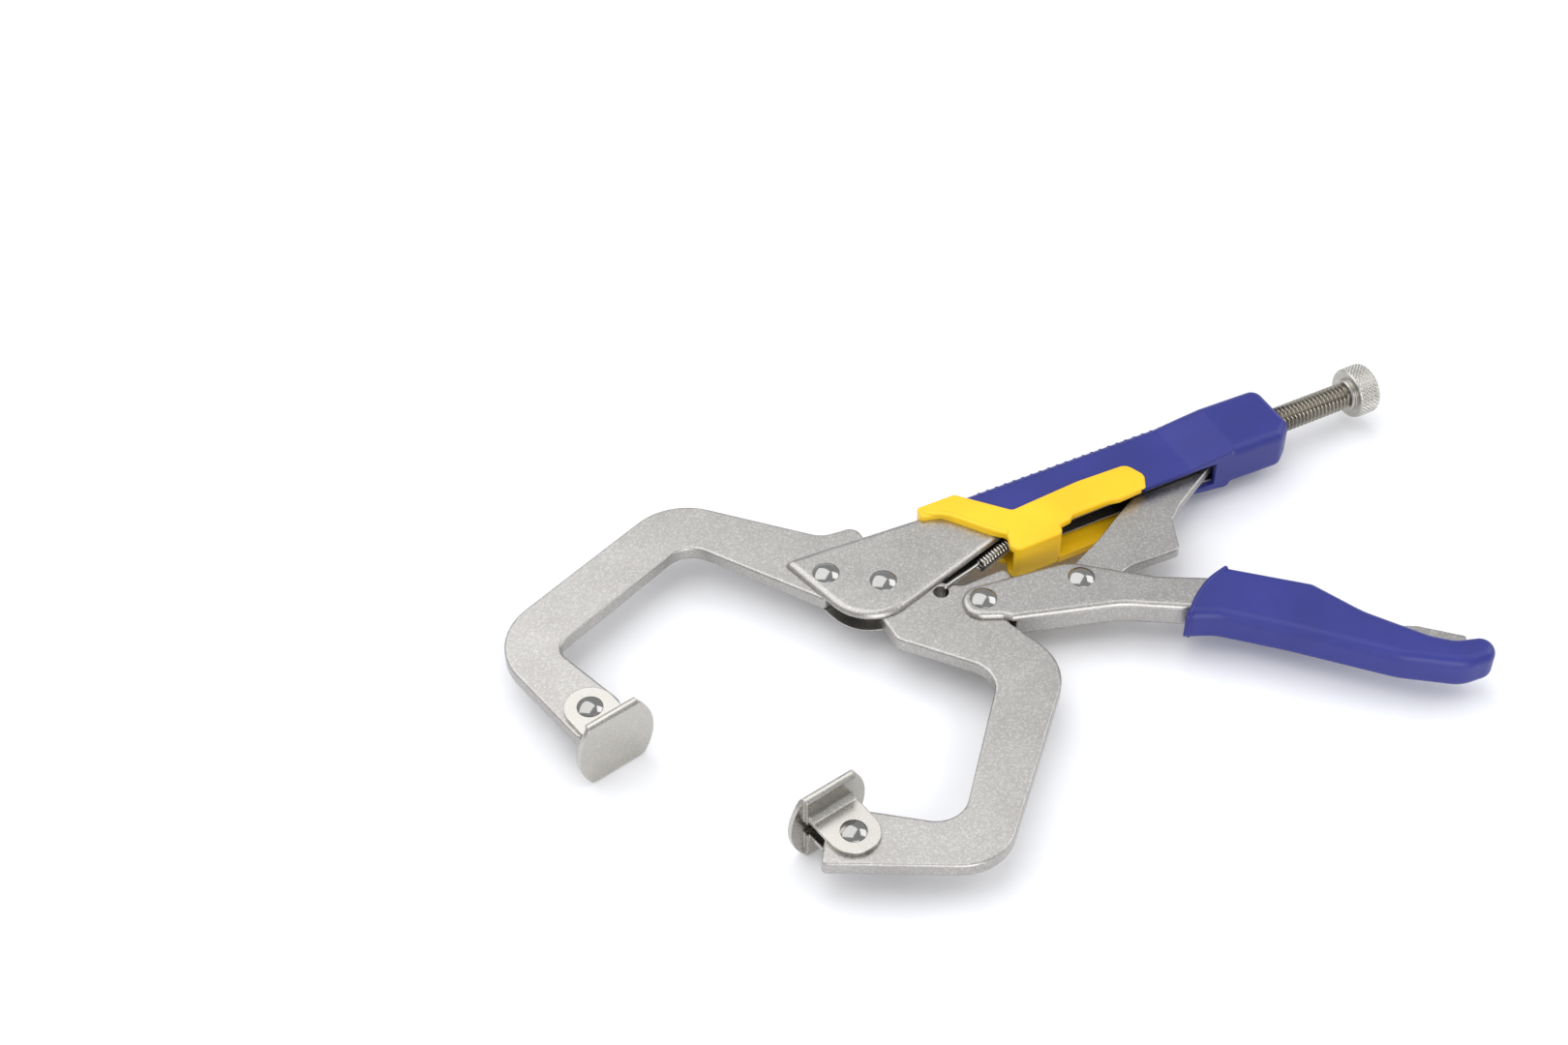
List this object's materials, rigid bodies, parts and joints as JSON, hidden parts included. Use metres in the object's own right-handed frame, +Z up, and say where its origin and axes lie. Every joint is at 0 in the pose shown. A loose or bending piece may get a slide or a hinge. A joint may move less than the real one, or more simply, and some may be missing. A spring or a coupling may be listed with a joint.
{
  "type": "locking c-clamp pliers",
  "caption": "Locking C-clamp pliers with swivel pads on deep curved jaws, an adjusting screw in the upper handle, a toggle lever and plastic-covered grips.",
  "frame": {"origin": "bottom centre of the bounding box: on the plane the two pads rest on, under the middle of the tool", "axes": "+X along the upper handle towards the adjusting knob, +Y across the tool towards the fixed jaw's side, +Z up, out of the mid-plane that the flat pieces share"},
  "size_m": [0.3208, 0.1834, 0.026],
  "materials": {
    "nickel_plate": "satin nickel plate",
    "pad_steel": "satin nickel plate",
    "rivet_steel": "polished",
    "screw_steel": "bright cut thread",
    "knob_steel": "bright, knurled rim",
    "spring_steel": "bright wire",
    "blue_grip": "semi-gloss",
    "yellow_plastic": "semi-gloss"
  },
  "bodies": {
    "frame": {"upper_channel": "nickel_plate", "fixed_jaw": "nickel_plate", "fixed_jaw_rivet": "rivet_steel", "jaw_pivot_rivet": "rivet_steel", "upper_grip": "blue_grip", "upper_collar": "yellow_plastic", "tension_spring": "spring_steel", "fixed_pad_rivet": "rivet_steel"},
    "moving_jaw": {"moving_jaw": "nickel_plate", "lever_rivet": "rivet_steel", "moving_pad_rivet": "rivet_steel"},
    "lever": {"lever": "nickel_plate", "lever_grip": "blue_grip", "link_rivet": "rivet_steel", "release_pin": "rivet_steel"},
    "link": {"toggle_link": "nickel_plate"},
    "release": {"release_lever": "nickel_plate"},
    "screw": {"adjusting_screw": "screw_steel"},
    "knob": {"screw_knob": "knob_steel"},
    "fixed_pad": {"fixed_pad": "pad_steel"},
    "moving_pad": {"moving_pad": "pad_steel"}
  },
  "joints": [
    {"name": "jaw_hinge", "type": "hinge", "parent": "frame", "child": "moving_jaw", "pos_m": [-0.03844, 0.02701, 0.013], "axis": [0, 0, -1], "range_deg": [0, 30], "stiffness_Nm_per_rad": 0.3, "springref_deg": -45.84, "deforming": ["tension_spring"]},
    {"name": "lever_hinge", "type": "hinge", "parent": "moving_jaw", "child": "lever", "pos_m": [-0.01364, 0.00501, 0.013], "axis": [0, 0, 1], "range_deg": [0, 53]},
    {"name": "link_hinge", "type": "hinge", "parent": "lever", "child": "link", "pos_m": [0.01936, -0.00169, 0.013], "axis": [0, 0, -1], "range_deg": [0, 26]},
    {"name": "release_hinge", "type": "hinge", "parent": "lever", "child": "release", "pos_m": [0.07026, -0.03799, 0.013], "axis": [0, 0, 1], "range_deg": [0, 8]},
    {"name": "screw_advance", "type": "slide", "parent": "frame", "child": "screw", "axis": [1, 0, 0], "range_m": [-0.01905, 0.00159]},
    {"name": "knob_turn", "type": "hinge", "parent": "screw", "child": "knob", "pos_m": [0.15226, 0.03401, 0.013], "axis": [1, 0, 0], "range_deg": [-4325, 362]},
    {"name": "fixed_pad_swivel", "type": "hinge", "parent": "frame", "child": "fixed_pad", "pos_m": [-0.14504, 0.02231, 0.013], "axis": [0, 0, 1], "range_deg": [-20, 20]},
    {"name": "moving_pad_swivel", "type": "hinge", "parent": "moving_jaw", "child": "moving_pad", "pos_m": [-0.09524, -0.05819, 0.013], "axis": [0, 0, 1], "range_deg": [-10, 45]}
  ],
  "couplings": [
    {"joint": "lever_hinge", "follows": "jaw_hinge", "ratio": 1.75},
    {"joint": "link_hinge", "follows": "jaw_hinge", "ratio": 0.85},
    {"joint": "knob_turn", "follows": "screw_advance", "rad_per_m": 3958}
  ]
}
